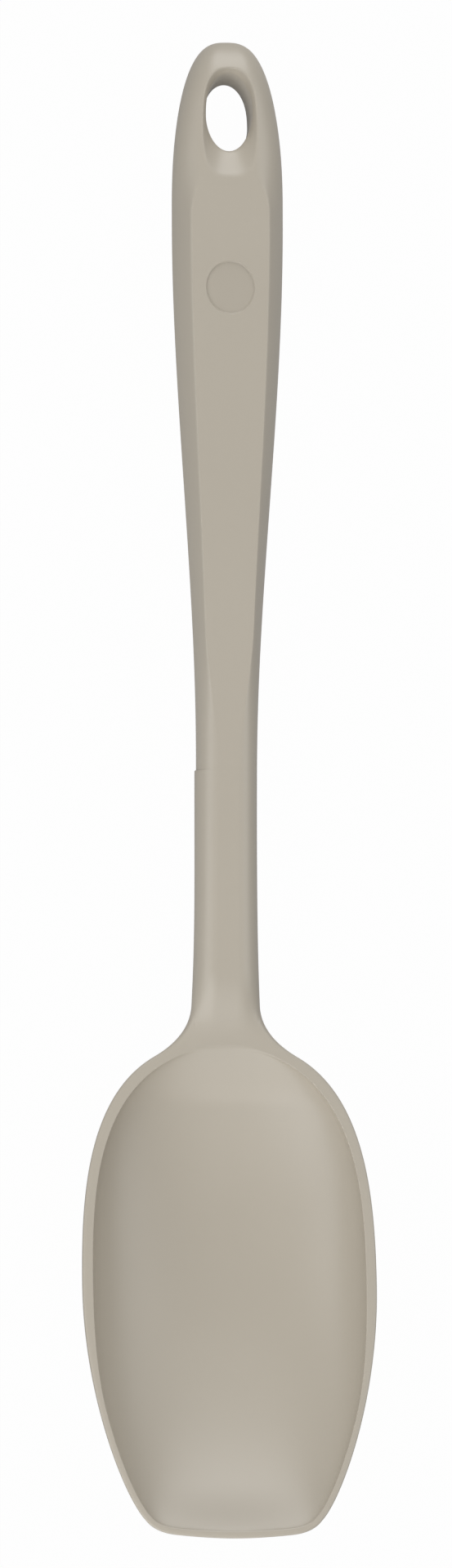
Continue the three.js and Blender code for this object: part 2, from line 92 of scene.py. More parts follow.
neck = {
    "length": 44.8,
    "width": 11.4,
    "thickness": 9.4,
    "flatShare": 0.3,
    "flare": 1.34,
    "step": 0.29,  # how far the sleeve stands out on the left at the joint
    "stepRound": 0.3,
    "stepPower": 6,  # how closely the step keeps to the side
    "height": 9.7,
    "cut": 8.0,  # where the neck's tube meets the bowl's rays, above the shoulder
}
bowl = {
    "length": 98.0,
    "width": 54.8,
    "widest": 0.523,
    "tipWidth": 32.7,
    "tipCorner": 3.3,
    "tipBow": 1.05,
    "shoulderSetback": 5.5,
    "filletLength": 6.0,
    "tipRise": 19.3,
    "rimBend": 5.0,
    "keelDepth": 4.9,
    "keelFrom": 0.31,  # shares of the length between which the keel is pulled down
    "keelTo": 0.68,
    "flatShare": 0.12,
    "round": 2.25,
    "rimWidth": 1.25,
    "rimCrown": 0.4,
    "rimRound": 1.0,
    "rimPower": 2.2,
    "edgeRound": 0.3,  # inner edge of the rim
    "crestRound": 0.9,  # the same edge across the neck
    "crestSetback": 6.9,
    "crestHalf": 8.0,  # half width over which the crest's rounding fades out
    "crestBlend": 3.0,  # over which the rim's inner edge turns into the crest
    "crestLength": 11.0,
    "crestWall": 1.2,  # thicker floor below the crest, over the next length
    "crestRun": 30.0,
    "bead": 1.6,  # front skin's lip down the outside
    "tipLap": 5.0,
    "tipRamp": 10.0,
    "floorWall": 4.4,
    "lipWall": 2.0,
    "lipRun": 34.0,
    "lipRound": 0.9,  # underside of the scraping edge, up to lipReach from the tip
    "lipReach": 9.0,
    "lipFade": 6.0,
    "lead": 2.0,
    "run": 11.0,
    "crownLead": 7.0,
    "crownRun": 16.0,
    "underCrown": 0.7,
    "pole": -88.0,  # where the bowl's rays start
}
skins = {"jointGap": 0.003, "flange": 1.6, "handleShare": 0.72, "frontShare": 0.66, "backShare": 0.3}
meshing = {"merge": 4e-7, "sharpAngle": 55}  # metres, degrees

yEnd = (handle["length"] + neck["length"] + bowl["length"]) / 2
yJoint = yEnd - handle["length"]
yShoulder = yJoint - neck["length"]
yTip = yShoulder - bowl["length"]
yWidest = yShoulder - bowl["length"] * bowl["widest"]
yCrest = yShoulder - bowl["crestSetback"]
yEye = yEnd - eye["setback"]
yRecess = yEnd - recess["setback"]
yEyeCut = yEnd - handle["endLength"]
yNeckCut = yShoulder + neck["cut"]
zTip = neck["height"] + bowl["tipRise"]


def clip01(t):
    return np.clip(t, 0.0, 1.0)


def mix(a, b, t):
    return a + (b - a) * t


def smooth(t):
    t = clip01(t)
    return t * t * (3 - 2 * t)


# lower of a and b, with the corner between them rounded over k
def softMin(a, b, k):
    h = clip01(0.5 + 0.5 * (b - a) / k)
    return mix(b, a, h) - k * h * (1 - h)


# Bezier curve by repeated mixing of neighbouring control points
def bezier(controls, t):
    level = [np.multiply.outer(np.ones_like(t), np.array(c, float)) for c in controls]
    while len(level) > 1:
        level = [mix(a, b, t[:, None]) for a, b in zip(level, level[1:])]
    return level[0]


# cubic through each two points, with slopes of half the step across their neighbours
def throughPoints(points, count=200):
    p = np.array([points[0], *points, points[-1]], float)
    t = np.linspace(0, 1, count)[:, None]
    pieces = []
    for a, b, c, d in zip(p, p[1:], p[2:], p[3:]):
        v0, v1 = (c - a) / 2, (d - b) / 2
        pieces.append((2 * b - 2 * c + v0 + v1) * t**3 + (3 * c - 3 * b - 2 * v0 - v1) * t**2 + v0 * t + b)
    return np.concatenate(pieces)


# where a rising function crosses zero, by halving
def findZero(function, low, high, steps=48):
    for _ in range(steps):
        middle = (low + high) / 2
        above = function(middle) > 0
        low, high = np.where(above, low, middle), np.where(above, middle, high)
    return (low + high) / 2


# points at even steps along a polyline
def evenSteps(points, count):
    run = np.concatenate([[0], np.cumsum(np.hypot(*np.diff(points, axis=0).T))])
    want = np.linspace(0, run[-1], count)
    return np.stack([np.interp(want, run, points[:, 0]), np.interp(want, run, points[:, 1])], -1)


def joined(x, y, z):
    return np.stack(np.broadcast_arrays(x, y, z), -1).astype(float)


# quads of a grid of points; wrap joins its last column to the first
def gridQuads(rows, cols, start, wrap):
    i = np.arange(rows - 1)[:, None]
    j = np.arange(cols if wrap else cols - 1)[None, :]
    k = (j + 1) % cols
    corners = [i * cols + j, i * cols + k, (i + 1) * cols + k, (i + 1) * cols + j]
    return start + np.stack(np.broadcast_arrays(*corners), -1).reshape(-1, 4)


# one closed piece from grids that share their edges
def makePiece(name, grids):
    points, quads, start = [], [], 0
    for grid, wrap in grids:
        rows, cols = grid.shape[:2]
        points.append(grid.reshape(-1, 3))
        quads.append(gridQuads(rows, cols, start, wrap))
        start += rows * cols
    points, quads = np.concatenate(points) / 1000, np.concatenate(quads)
    mesh = bpy.data.meshes.new(name)
    mesh.vertices.add(len(points))
    mesh.vertices.foreach_set("co", points.astype(np.float32).ravel())
    mesh.loops.add(quads.size)
    mesh.loops.foreach_set("vertex_index", quads.astype(np.int32).ravel())
    mesh.polygons.add(len(quads))
    mesh.polygons.foreach_set("loop_start", np.arange(0, quads.size, 4, dtype=np.int32))
    mesh.update(calc_edges=True)
    work = bmesh.new()
    work.from_mesh(mesh)
    bmesh.ops.remove_doubles(work, verts=work.verts, dist=meshing["merge"])
    bmesh.ops.recalc_face_normals(work, faces=work.faces)
    openEdges = sum(len(e.link_faces) != 2 for e in work.edges)
    work.to_mesh(mesh)
    work.free()
    mesh.polygons.foreach_set("use_smooth", np.ones(len(mesh.polygons), bool))
    mesh.set_sharp_from_angle(angle=math.radians(meshing["sharpAngle"]))
    piece = bpy.data.objects.new(name, mesh)
    bpy.context.scene.collection.objects.link(piece)
    print(f"{name}: {len(mesh.polygons)} faces, {openEdges} open edges")
    return piece


# Handle: half width, half height and mid-line along y
handleLine = throughPoints([
    (yJoint, neck["height"]),
    (mix(yJoint, yEnd, handle["levelShare"]), neck["height"]),
    (yEnd - handle["endLength"], handle["thickness"] / 2 + handle["endDip"]),
    (yEnd - handle["heelSetback"], handle["thickness"] / 2),
    (yEnd, handle["thickness"] / 2 - handle["endDip"]),
])


def handleMid(y):
    return np.interp(y, handleLine[:, 0], handleLine[:, 1])


def endRounding(y, length, power):
    return (1 - clip01(1 - (yEnd - y) / length) ** 2) ** (1 / power)


def handleHalf(y):
    wide = mix(handle["jointWidth"], handle["width"], smooth((y - yJoint) / handle["taper"])) / 2
    return wide * endRounding(y, handle["endLength"], handle["endPower"])


def handleHeight(y):
    tall = mix(handle["jointThickness"], handle["thickness"], smooth((y - yJoint) / handle["taper"])) / 2
    return tall * endRounding(y, handle["endRound"], handle["endDepthPower"])


def bevelShare(y):
    faded = smooth((y - yEnd + handle["creaseSetback"]) / handle["creaseRunOut"])
    return smooth((y - yJoint) / handle["flatRunOut"]) * (1 - faded)


def handleFlat(y):
    return handleHalf(y) * mix(neck["flatShare"], handle["flatShare"], bevelShare(y))


# height of a face over the mid-line: flat, then (1 - t^a)^(1/b) down the bevel and the side
def handleFace(x, y):
    half, flat = handleHalf(y), handleFlat(y)
    bevelled = bevelShare(y)
    across = mix(handle["sideRound"], handle["crease"], bevelled)
    down = mix(handle["sideRound"], handle["bevelRound"], bevelled)
    t = clip01((np.abs(x) - flat) / np.maximum(half - flat, 1e-9))
    soft = handle["creaseSoft"] * bevelled + 1e-9
    t = clip01((np.hypot(t, soft) - soft) / (np.hypot(1, soft) - soft))
    return handleHeight(y) * (1 - t**across) ** (1 / down)


# lower face kept on the table
def onTable(z):
    return -softMin(-z, 0.0, 0.1)


flatSteps = np.linspace(-1, 1, 33)
cornerSteps = smooth(np.linspace(0, 1, 31))[1:]


# columns across a section: even over the flat, closer together towards crease and side
def acrossSection(half, flat):
    half, flat = np.asarray(half)[..., None], np.asarray(flat)[..., None]
    corner = flat + (half - flat) * cornerSteps
    return np.concatenate([-corner[..., ::-1], flat * flatSteps, corner], -1)


# The eye in its own tilted frame: half-axes grow with height over the throat, softly at first
eyeTurn = math.radians(eye["tilt"])
eyeSin, eyeCos = math.sin(eyeTurn), math.cos(eyeTurn)


def softGrow(over):
    return eye["throatSoft"] * np.logaddexp(0, over / eye["throatSoft"])


def eyeAxes(over):
    wide = eye["width"] / 2 + eye["flareX"] * softGrow(over - eye["sideLead"])
    return wide, eye["length"] / 2 + eye["flareY"] * softGrow(over)


# the ring's height over the mid-line and its shift along the handle, for a height over the throat's end
def eyePlace(over, side):
    high = side * (eye["front" if side > 0 else "back"] + over)
    grow = softGrow(over)
    return high, eye["lean"] * (high - side * grow) - eye["funnelLean"] * grow


# point of the eye's wall at an angle and a height over the throat's end, for the front (1) or back (-1)
def eyeWall(angle, over, side):
    a, b = eyeAxes(over)
    high, shift = eyePlace(over, side)
    along = b * np.sin(angle) + shift
    return joined(a * np.cos(angle), yEye + along * eyeCos + high * eyeSin,
                  handleMid(yEye) - along * eyeSin + high * eyeCos)


# height of the funnel over the mid-line above a plan point, by solving for the height of the
# superellipse through it, |x / a|^n + |y / b|^n = 1, with n from 2 at the throat
def funnelHeight(x, y, side):
    def outside(over):
        a, b = eyeAxes(over)
        high, shift = eyePlace(over, side)
        along = (y - yEye - high * eyeSin) / eyeCos - shift
        power = 2 + eye["square"] * softGrow(over)
        return 1 - np.abs(x / a) ** power - np.abs(along / b) ** power

    over = findZero(outside, np.full_like(x, -eye["lead"]), np.full_like(x, 30.0))
    high, shift = eyePlace(over, side)
    along = (y - yEye - high * eyeSin) / eyeCos
    return side * (handleMid(yEye) - along * eyeSin + high * eyeCos - handleMid(y))


# hidden inner face: a share of the height, down to the parting line at the outline
def insideHandle(x, y, height):
    return height * skins["handleShare"] * smooth((handleHalf(y) - np.abs(x)) / skins["flange"])


# One half of the handle, front (1) or back (-1): a tube of sections, rays round the eye,
# rays round the recess, the eye's wall, and the hidden face behind them
def handlePiece(name, side):
    def placed(x, y, height):
        z = handleMid(y) + side * height
        return joined(x, y, z if side > 0 else onTable(z))

    grids = []
    low, high = yRecess - recess["window"], yRecess + recess["window"]
    stations = np.concatenate([
        np.linspace(yJoint + skins["jointGap"], low, 100),
        np.linspace(low, high, 21)[1:],
        np.linspace(high, yEyeCut, 14)[1:],
    ])
    columns = acrossSection(handleHalf(stations), handleFlat(stations))
    rows = np.broadcast_to(stations[:, None], columns.shape)
    face = handleFace(columns, rows)
    tube = placed(columns, rows, face)
    if side > 0:
        first, last = 99, 119  # stations of the recess's window
        left, right = len(cornerSteps) + 2, len(cornerSteps) + len(flatSteps) - 3
        grids += [(tube[:first + 1], False), (tube[last:], False)]
        grids += [(tube[first:last + 1, :left + 1], False), (tube[first:last + 1, right:], False)]
        edge = np.concatenate([
            tube[first, left:right], tube[first:last, right],
            tube[last, right:left:-1], tube[last:first:-1, left],
        ])
        away = edge[:, :2] - [0, yRecess]
        reach = np.hypot(away[:, 0] / (recess["width"] / 2), away[:, 1] / (recess["length"] / 2))
        inner = np.concatenate([np.linspace(0, 0.9, 9), np.linspace(0.92, 1.08, 17)])[:, None] / reach
        outer = mix(inner[-1], 1.0, smooth(np.linspace(0, 1, 7))[1:, None])
        share = np.concatenate([inner, outer])
        x, y = away[:, 0] * share, yRecess + away[:, 1] * share
        sunk = recess["depth"] * (1 - smooth((share * reach - recess["wallFrom"]) / recess["wallRun"]))
        grids.append((placed(x, y, handleFace(x, y) - sunk), True))
    else:
        grids.append((tube, False))

    ySide = np.linspace(yEyeCut, yEnd, 4001)
    rightSide = evenSteps(np.stack([handleHalf(ySide), ySide], -1), 84)
    leftSide = rightSide[::-1] * [-1, 1]
    ring = np.concatenate([tube[-1, :, :2], rightSide[1:], leftSide[1:-1]])
    a, b = eyeAxes(-eye["lead"])
    high, shift = eyePlace(-eye["lead"], side)
    middle = yEye + shift * eyeCos + high * eyeSin
    angle = np.arctan2((ring[:, 1] - middle) / b, ring[:, 0] / a)
    throat = eyeWall(angle, np.full_like(angle, -eye["lead"]), side)
    share = smooth(np.linspace(0, 1, 64))[:, None]
    x, y = mix(throat[:, 0], ring[:, 0], share), mix(throat[:, 1], ring[:, 1], share)
    height = softMin(handleFace(x, y), funnelHeight(x, y, side), eye["faceSoft"])
    onTube = np.arange(len(ring)) < columns.shape[1]  # the rest of the ring is the outline, at no height
    height[-1] = np.where(onTube, handleFace(x[-1], y[-1]), 0)
    height = np.maximum(height, 0)
    fan = placed(x, y, height)
    fan[0] = throat
    grids.append((fan, True))

    drop = np.linspace(-eye["lead"], -eye["front" if side > 0 else "back"], 9)[:, None]
    wall = eyeWall(np.broadcast_to(angle, (9, len(angle))), np.broadcast_to(drop, (9, len(angle))), side)
    wall[-1, :, 2] = handleMid(wall[-1, :, 1])
    grids.append((wall, True))

    share = np.linspace(0, 1, 15)[:, None]
    x, y = mix(wall[-1, :, 0], ring[:, 0], share), mix(wall[-1, :, 1], ring[:, 1], share)
    away = np.hypot(x - wall[-1, :, 0], y - wall[-1, :, 1])
    behind = insideHandle(x, y, handleFace(x, y)) * smooth(away / (2 * skins["flange"]))
    behind[-1] = np.where(onTube, insideHandle(x[-1], y[-1], handleFace(x[-1], y[-1])), 0)
    grids.append((joined(x, y, handleMid(y) + side * behind), True))
    lining = joined(columns, rows, handleMid(rows) + side * insideHandle(columns, rows, face))
    grids.append((lining, False))
    grids.append((np.stack([tube[0], lining[0]]), False))
    return makePiece(name, grids)


# Pulls of the outline's curves, as shares of the lengths they run along
outline = {
    "shoulderOut": 0.93,
    "shoulderDown": 0.56,
    "meets": 0.215,  # where the fillet lands on the shoulder's curve
    "neckDown": 0.7,
    "sideDown": 0.447,
    "sideIn": 0.333,
    "sideLow": 0.848,
    "cornerIn": 0.51,
    "edgeIn": 1.7,
    "edgeUp": 0.6,
    "edgeReach": 1.5,
}


# Head outline of the right half: neck edge, fillet, shoulder, side, rounded corner and scraping edge,
# each a Bezier curve
def headOutline(counts):
    half, tipHalf = bowl["width"] / 2, bowl["tipWidth"] / 2
    corner, bow = bowl["tipCorner"], bowl["tipBow"]
    yTop = yShoulder - bowl["shoulderSetback"]
    shoulder = [(0, yTop), (half * outline["shoulderOut"], yTop),
                (half, mix(yTop, yWidest, outline["shoulderDown"])), (half, yWidest)]
    meets = outline["meets"]
    landing, ahead = bezier(shoulder, np.array([meets, meets + 1e-5]))
    slope = (ahead - landing)[1] / (ahead - landing)[0]
    filletHalf = (neck["width"] + neck["flare"]) / 2
    yBend = landing[1] + (filletHalf - landing[0]) * slope
    start = (filletHalf, yBend + bowl["filletLength"])
    bend = (tipHalf - corner * outline["cornerIn"], yTip + bow)
    edgeStart = (tipHalf - corner * outline["edgeIn"], yTip + bow * outline["edgeUp"])
    edgePull = edgeStart[0] + (edgeStart[0] - bend[0]) * outline["edgeReach"]
    parts = [
        ([(neck["width"] / 2, yJoint), (neck["width"] / 2, mix(yJoint, start[1], outline["neckDown"])), start], 0),
        ([start, (filletHalf, yBend), landing], 0),
        (shoulder, meets),
        ([(half, yWidest), (half, mix(yWidest, yTip, outline["sideDown"])),
          (mix(tipHalf, half, outline["sideIn"]), mix(yWidest, yTip, outline["sideLow"])),
          (tipHalf, yTip + corner)], 0),
        ([(tipHalf, yTip + corner), bend, edgeStart], 0),
        ([edgeStart, (edgePull, yTip), (0, yTip)], 0),
    ]
    lines = [bezier(controls, np.linspace(first, 1, count + 1))[(1 if i else 0):]
             for i, ((controls, first), count) in enumerate(zip(parts, counts))]
    return np.concatenate(lines)


fineOutline = headOutline((400, 400, 600, 600, 300, 300))
outward = np.gradient(fineOutline, axis=0)
outward = np.stack([-outward[:, 1], outward[:, 0]], -1) / np.hypot(*outward.T)[:, None]
insetOutline = fineOutline - outward * bowl["rimWidth"]
insetOutline[-1] = (0, yTip + bowl["rimWidth"])


def headHalf(y):
    return np.interp(y, fineOutline[::-1, 1], fineOutline[::-1, 0])


# rim line in side view: level along the neck, then straight up to the tip with a short bend
def rimHeight(y):
    def run(length):
        return np.hypot(length, bowl["rimBend"]) - bowl["rimBend"]

    return neck["height"] + bowl["tipRise"] * run(np.maximum(0, yShoulder - y)) / run(bowl["length"])


keelLine = bezier([
    (yShoulder, neck["height"] - neck["thickness"] / 2),
    (yShoulder - bowl["length"] * bowl["keelFrom"], -bowl["keelDepth"]),
    (yShoulder - bowl["length"] * bowl["keelTo"], -bowl["keelDepth"]),
    (yTip, zTip - bowl["lipWall"] + bowl["underCrown"]),
], np.linspace(0, 1, 600))[::-1]


def headBottom(y):
    keel = np.interp(y, keelLine[:, 0], keelLine[:, 1])
    return np.where(y > yShoulder, neck["thickness"] / 2, rimHeight(y) - keel)


def bowlBlend(y):
    return smooth((yShoulder + bowl["lead"] - y) / bowl["run"])


def headTop(y):
    sunk = smooth((yShoulder + bowl["crownLead"] - y) / bowl["crownRun"])
    return mix(neck["thickness"] / 2, bowl["rimCrown"], sunk)


def headFlat(y):
    return headHalf(y) * mix(neck["flatShare"], bowl["flatShare"], bowlBlend(y))


# share of a section's height at x: flat, then (1 - t^n)^(1/n) to the side
def sectionShare(x, y):
    half, flat = headHalf(y), headFlat(y)
    power = mix(handle["sideRound"], bowl["round"], bowlBlend(y))
    t = clip01((np.abs(x) - flat) / np.maximum(half - flat, 1e-9))
    return (1 - t**power) ** (1 / power)


# top of neck and rim; d is the distance from the outline
def topSurface(x, y, d):
    power = bowl["rimPower"]
    rounded = (1 - clip01(1 - d / bowl["rimRound"]) ** power) ** (1 / power)
    return rimHeight(y) + headTop(y) * mix(sectionShare(x, y), rounded, bowlBlend(y))


# underside, rounded off along the scraping edge and flat on the table
def underSurface(x, y, d):
    lip = (1 - clip01(1 - d / bowl["lipRound"]) ** 2) ** 0.5
    lip = mix(1.0, lip, smooth((yTip + bowl["lipReach"] - y) / bowl["lipFade"]))
    return onTable(rimHeight(y) - headBottom(y) * sectionShare(x, y) * lip)


# half width of the scoop: the outline moved in by the rim, closed across below the neck
def scoopHalf(y):
    wide = bowl["width"] / 2 - bowl["rimWidth"]
    across = (1 - clip01((y - yWidest) / (yCrest - yWidest)) ** 3) ** 0.5 * wide
    along = np.interp(y, insetOutline[::-1, 1], insetOutline[::-1, 0], left=0.0)
    return np.maximum(softMin(along, across, np.minimum(bowl["crestBlend"], along + 1e-6)), 0)


# scoop: floor line along y, and a superellipse wall across
def scoopSurface(x, y):
    half = np.maximum(scoopHalf(y), 1e-6)
    edge = topSurface(half, y, np.full_like(y, bowl["rimWidth"]))
    wall = mix(bowl["lipWall"], bowl["floorWall"], smooth((y - yTip) / bowl["lipRun"]))
    wall = wall + bowl["crestWall"] * smooth(1 - (yCrest - y) / bowl["crestRun"])
    risen = clip01(1 - (yCrest - y) / bowl["crestLength"]) ** 2
    floor = rimHeight(y) - mix(headBottom(y) - wall, -headTop(y), risen)
    near = clip01((yTip + bowl["rimWidth"] + bowl["tipRamp"] - y) / bowl["tipRamp"])
    floor = mix(edge, floor, (1 - near ** bowl["round"]) ** (1 / bowl["round"]))
    across = clip01(np.abs(x) / half)
    return mix(edge, floor, (1 - across ** bowl["round"]) ** (1 / bowl["round"]))


# Rays from the bowl's middle to the outline and to the neck's cut
neckColumns = acrossSection(headHalf(yNeckCut), headFlat(yNeckCut))
rightEdge = headOutline((60, 22, 70, 56, 22, 26))
corner = np.array([[headHalf(yNeckCut), yNeckCut]])
rightEdge = np.concatenate([corner, rightEdge[rightEdge[:, 1] < yNeckCut - 0.4]])
aroundEdge = np.concatenate([rightEdge, rightEdge[-2::-1] * [-1, 1]])
edgeNormal = np.gradient(aroundEdge, axis=0)
edgeNormal = np.stack([-edgeNormal[:, 1], edgeNormal[:, 0]], -1) / np.hypot(*edgeNormal.T)[:, None]
neckRow = np.stack([neckColumns[1:-1], np.full(len(neckColumns) - 2, yNeckCut)], -1)
rayEnds = np.concatenate([aroundEdge, neckRow])
onEdge = np.arange(len(rayEnds)) < len(aroundEdge)
rays = rayEnds - [0, bowl["pole"]]
rayLength = np.hypot(*rays.T)
facing = np.concatenate([np.abs((rays[:len(aroundEdge)] * edgeNormal).sum(-1)), np.zeros(len(neckRow))])


def onRays(share):
    return rays[:, 0] * share, bowl["pole"] + rays[:, 1] * share


# distance from the outline of points on the rays
def edgeDistance(share):
    x, y = onRays(share)
    beside = headHalf(y) - np.abs(x)
    return np.where(onEdge, (1 - share) * facing, np.maximum(beside, 0))


def frontSurface(share):
    x, y = onRays(share)
    inside = share < scoopShare
    return np.where(inside, scoopSurface(x, y), topSurface(x, y, edgeDistance(share)))


def backSurface(share):
    x, y = onRays(share)
    return underSurface(x, y, edgeDistance(share))


def scoopMiss(share):
    x, y = onRays(share)
    return np.abs(x) - scoopHalf(y) + 1e-6


scoopShare = findZero(scoopMiss, np.full(len(rays), 0.3), np.ones(len(rays)))


def beadMiss(share):
    x, y = onRays(share)
    return bowl["bead"] * bowlBlend(rayEnds[:, 1]) - (rimHeight(y) - backSurface(share))


# where the front skin ends: down the outside by the bead, and a lap under the tip
beadShare = findZero(beadMiss, np.full(len(rays), 0.5), np.ones(len(rays)))
lapShare = (yTip + bowl["tipLap"] - bowl["pole"]) / np.minimum(rays[:, 1], -1)
beadShare = np.where(rayEnds[:, 1] < yTip + bowl["tipLap"], np.minimum(beadShare, lapShare), beadShare)
beadShare = np.where(onEdge, beadShare, 1.0)


# hidden faces between the skins, apart by the core, down to the parting line at the outline
def insideHead(x, y, front, back, isFront):
    near = smooth((headHalf(y) - np.abs(x) - 0.1) / skins["flange"])
    near = near * smooth((y - yTip - bowl["tipLap"]) / skins["flange"])
    share = skins["frontShare"] if isFront else skins["backShare"]
    inBowl = mix(back, front, share * near)
    inNeck = rimHeight(y) + ((front if isFront else back) - rimHeight(y)) * skins["handleShare"] * near
    return mix(inNeck, inBowl, bowlBlend(y))


# neck's tube: sections from the bowl's rays up to the joint, closer together at the sleeve's rounded end
yNeckEnd = yJoint - skins["jointGap"]
sleeveTurn = neck["stepRound"] * (1 - np.sin(np.linspace(0, math.pi / 2, 9)))
neckStations = np.linspace(yNeckCut, yNeckEnd - neck["stepRound"], 56)
neckStations = np.append(neckStations[:-1], yNeckEnd - sleeveTurn)
neckAcross = acrossSection(headHalf(neckStations), headFlat(neckStations))
neckAlong = np.broadcast_to(neckStations[:, None], neckAcross.shape)


# the sleeve stands out on the left, more towards the joint and only at the section's side
def sleeveStep(x, y):
    grown = smooth((y - yNeckCut) / (yNeckEnd - yNeckCut))
    turned = np.sqrt(1 - clip01((y - yNeckEnd) / neck["stepRound"] + 1) ** 2)
    return x - neck["step"] * grown * turned * clip01(-x / headHalf(y)) ** neck["stepPower"]


def neckGrids(isFront):
    share = sectionShare(neckAcross, neckAlong) * neck["thickness"] / 2
    front, back = rimHeight(neckAlong) + share, rimHeight(neckAlong) - share
    across = sleeveStep(neckAcross, neckAlong)
    shown = joined(across, neckAlong, front if isFront else onTable(back))
    hidden = joined(across, neckAlong, insideHead(neckAcross, neckAlong, front, back, isFront))
    return [(shown, False), (hidden, False), (np.stack([shown[-1], hidden[-1]]), False)]


def hiddenGrid(isFront):
    share = beadShare * (1 - np.linspace(0, 1, 26)[:, None] ** 1.5)
    x, y = onRays(share)
    z = insideHead(x, y, frontSurface(share), backSurface(share), isFront)
    z[0] = np.where(onEdge, backSurface(beadShare), z[0])
    return joined(x, y, z)


# Front of the head: scoop, rounded inner edge, rim, and its bead down the outside
def headFront(name):
    x, y = onRays(scoopShare)
    edge = joined(x, y, topSurface(x, y, edgeDistance(scoopShare)))
    acrossNeck = smooth(1 - np.abs(x) / bowl["crestHalf"]) * (y > yWidest)
    rounding = mix(bowl["edgeRound"], bowl["crestRound"], acrossNeck)

    def inside(share):
        x, y = onRays(share)
        return joined(x, y, scoopSurface(x, y))

    def outside(share):
        x, y = onRays(share)
        return joined(x, y, topSurface(x, y, edgeDistance(share)))

    # where the rounding starts and ends: as far from the edge on either side
    def away(points):
        return np.linalg.norm(points - edge, axis=-1)

    low = findZero(lambda s: rounding - away(inside(s)), scoopShare * 0.7, scoopShare)
    high = findZero(lambda s: away(outside(s)) - rounding, scoopShare, np.ones_like(scoopShare))
    floor = inside(low * (1 - (1 - np.linspace(0, 1, 66)[:, None]) ** 2))
    rim = outside(mix(high, 1.0, smooth(np.linspace(0, 1, 26))[:, None]))
    t = np.linspace(0, 1, 11)[1:-1, None, None]
    turn = mix(mix(floor[-1], edge, t), mix(edge, rim[0], t), t)
    edgeOnly = beadShare[onEdge]
    share = np.ones((12, len(rays)))
    share[:, onEdge] = mix(1.0, edgeOnly, np.linspace(0, 1, 12)[:, None] ** 2)
    x, y = onRays(share)
    bead = joined(x, y, backSurface(share))
    bead[0] = rim[-1]
    bead = bead[:, onEdge]
    grids = [(np.concatenate([floor, turn, rim]), True), (bead, False), (hiddenGrid(True), True)]
    return makePiece(name, grids + neckGrids(True))


# Back of the head: the underside from the bead to the middle
def headBack(name):
    share = beadShare * (1 - np.linspace(0, 1, 70)[:, None] ** 2)
    x, y = onRays(share)
    under = joined(x, y, backSurface(share))
    return makePiece(name, [(under, True), (hiddenGrid(False), True)] + neckGrids(False))


pieces = {
    "handle_front": (handlePiece("handle_front", 1), "handle_front_skin"),
    "handle_back": (handlePiece("handle_back", -1), "handle_back_skin"),
    "head_front": (headFront("head_front"), "head_front_skin"),
    "head_back": (headBack("head_back"), "head_back_skin"),
}
print("skins made")


# a shader socket that adds, takes away, multiplies and divides as numbers do
class Wire:
    def __init__(self, tree, socket=None):
        self.tree = tree
        self.socket = socket

    def node(self, kind, settings=None, inputs=None, output=0):
        made = self.tree.nodes.new(kind)
        for key, value in (settings or {}).items():
            setattr(made, key, value)
        for key, value in (inputs or {}).items():
            if isinstance(value, Wire):
                self.tree.links.new(value.socket, made.inputs[key])
            else:
                made.inputs[key].default_value = value
        return Wire(self.tree, made.outputs[output]) if made.outputs else made

    def maths(self, operation, *values):
        return self.node("ShaderNodeMath", {"operation": operation}, dict(enumerate(values)))

    def __add__(self, other):
        return self.maths("ADD", self, other)

    def __radd__(self, other):
        return self.maths("ADD", other, self)

    def __sub__(self, other):
        return self.maths("SUBTRACT", self, other)

    def __rsub__(self, other):
        return self.maths("SUBTRACT", other, self)

    def __mul__(self, other):
        return self.maths("MULTIPLY", self, other)

    def __rmul__(self, other):
        return self.maths("MULTIPLY", other, self)

    def __truediv__(self, other):
        return self.maths("DIVIDE", self, other)

    def __rtruediv__(self, other):
        return self.maths("DIVIDE", other, self)


def newMaterial(name):
    material = bpy.data.materials.new(name)
    material.use_nodes = True
    material.node_tree.nodes.clear()
    return material, Wire(material.node_tree)


def blendColours(wire, share, first, second):
    return wire.node("ShaderNodeMix", {"data_type": "RGBA"}, {0: share, 6: first, 7: second}, 2)


def cloud(wire, place, scale, detail, roughness=0.5):
    return wire.node("ShaderNodeTexNoise", None,
                     {"Vector": place, "Scale": scale, "Detail": detail, "Roughness": roughness})


silicone = {
    "deep": (0.416, 0.377, 0.314, 1),
    "pale": (0.438, 0.399, 0.334, 1),
    "sunk": 0.03,  # how much darker the recess's floor is painted, as painted shade
    "roughness": 0.4,
    "grain": 0.12,
    "grainHeight": 0.00006,
    "clouds": 45.0,  # scales of the three noises
    "specks": 900.0,
    "grainScale": 5200.0,
    "index": 1.5,
}
